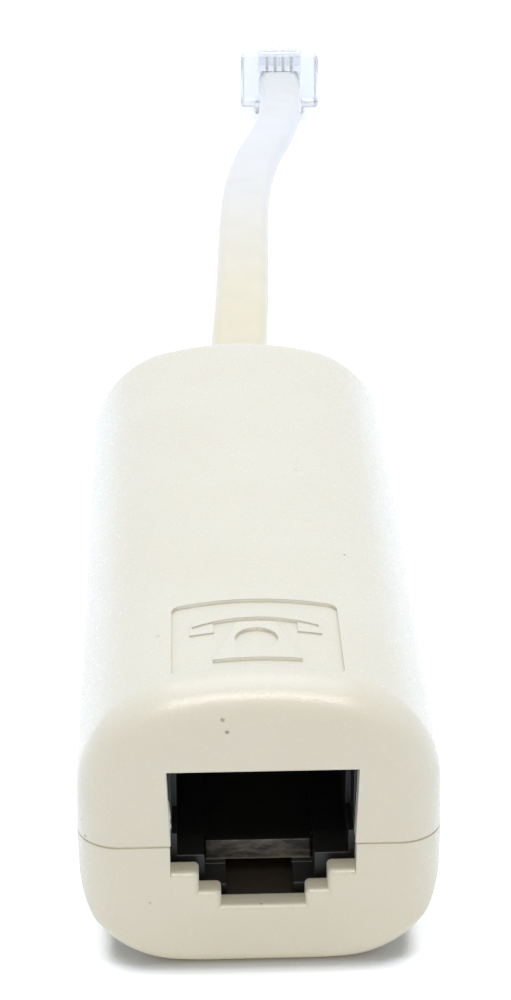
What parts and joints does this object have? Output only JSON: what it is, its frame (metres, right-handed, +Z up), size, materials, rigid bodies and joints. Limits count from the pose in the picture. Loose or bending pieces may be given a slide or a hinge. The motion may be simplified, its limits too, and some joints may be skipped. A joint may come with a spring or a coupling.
{
  "type": "dsl filter",
  "caption": "In-line telephone line filter: a two-shell moulded case with a modular jack in one end and a short flat cord with a modular plug at the other.",
  "frame": {"origin": "on the ground under the middle of the case, half way between its two ends and its two sides", "axes": "+Y runs from the jack end towards the cord and plug, +Z is up, +X is to the right when looking from the jack end along +Y"},
  "size_m": [0.0242, 0.1885, 0.0183],
  "materials": {
    "case_plastic": "fine spark-eroded mould texture, ivory ABS",
    "jack_plastic": "satin black polyester",
    "plated_contact": "thin gold plating",
    "board": "brown phenolic paper board",
    "cord_jacket": "smooth soft PVC, off white",
    "clear_plastic": "clear polished polycarbonate",
    "core_wire_sleeve": "thin smooth insulation",
    "ferrite": "ground grey-black ferrite",
    "bobbin_plastic": "moulded phenolic",
    "enamelled_copper": "enamelled copper wire, wound in layers",
    "tinned_wire": "tinned wire",
    "film_capacitor": "dipped glossy resin",
    "resistor_body": "lacquered beige body"
  },
  "bodies": {
    "root": {"upper_shell": "case_plastic", "lower_shell": "case_plastic", "jack_housing": "jack_plastic", "jack_contact_carrier": "jack_plastic", "circuit_board": "board", "cord_anchor": "cord_jacket", "cord": "cord_jacket", "plug_body": "clear_plastic", "plug_jacket_end": "cord_jacket", "plug_conductors": "core_wire_sleeve", "jack_contact_1": "plated_contact", "jack_contact_2": "plated_contact", "jack_contact_3": "plated_contact", "jack_contact_4": "plated_contact", "plug_blade_1": "plated_contact", "plug_blade_2": "plated_contact", "plug_blade_3": "plated_contact", "plug_blade_4": "plated_contact", "conductor_1": "core_wire_sleeve", "conductor_2": "core_wire_sleeve", "conductor_3": "core_wire_sleeve", "conductor_4": "core_wire_sleeve", "choke_1_core": "ferrite", "choke_1_bobbin": "bobbin_plastic", "choke_1_winding": "enamelled_copper", "choke_1_pins": "tinned_wire", "choke_2_core": "ferrite", "choke_2_bobbin": "bobbin_plastic", "choke_2_winding": "enamelled_copper", "choke_2_pins": "tinned_wire", "capacitor_1": "film_capacitor", "capacitor_1_leads": "tinned_wire", "capacitor_2": "film_capacitor", "capacitor_2_leads": "tinned_wire", "resistor_1": "resistor_body", "resistor_1_leads": "tinned_wire", "resistor_2": "resistor_body", "resistor_2_leads": "tinned_wire"}
  },
  "joints": []
}
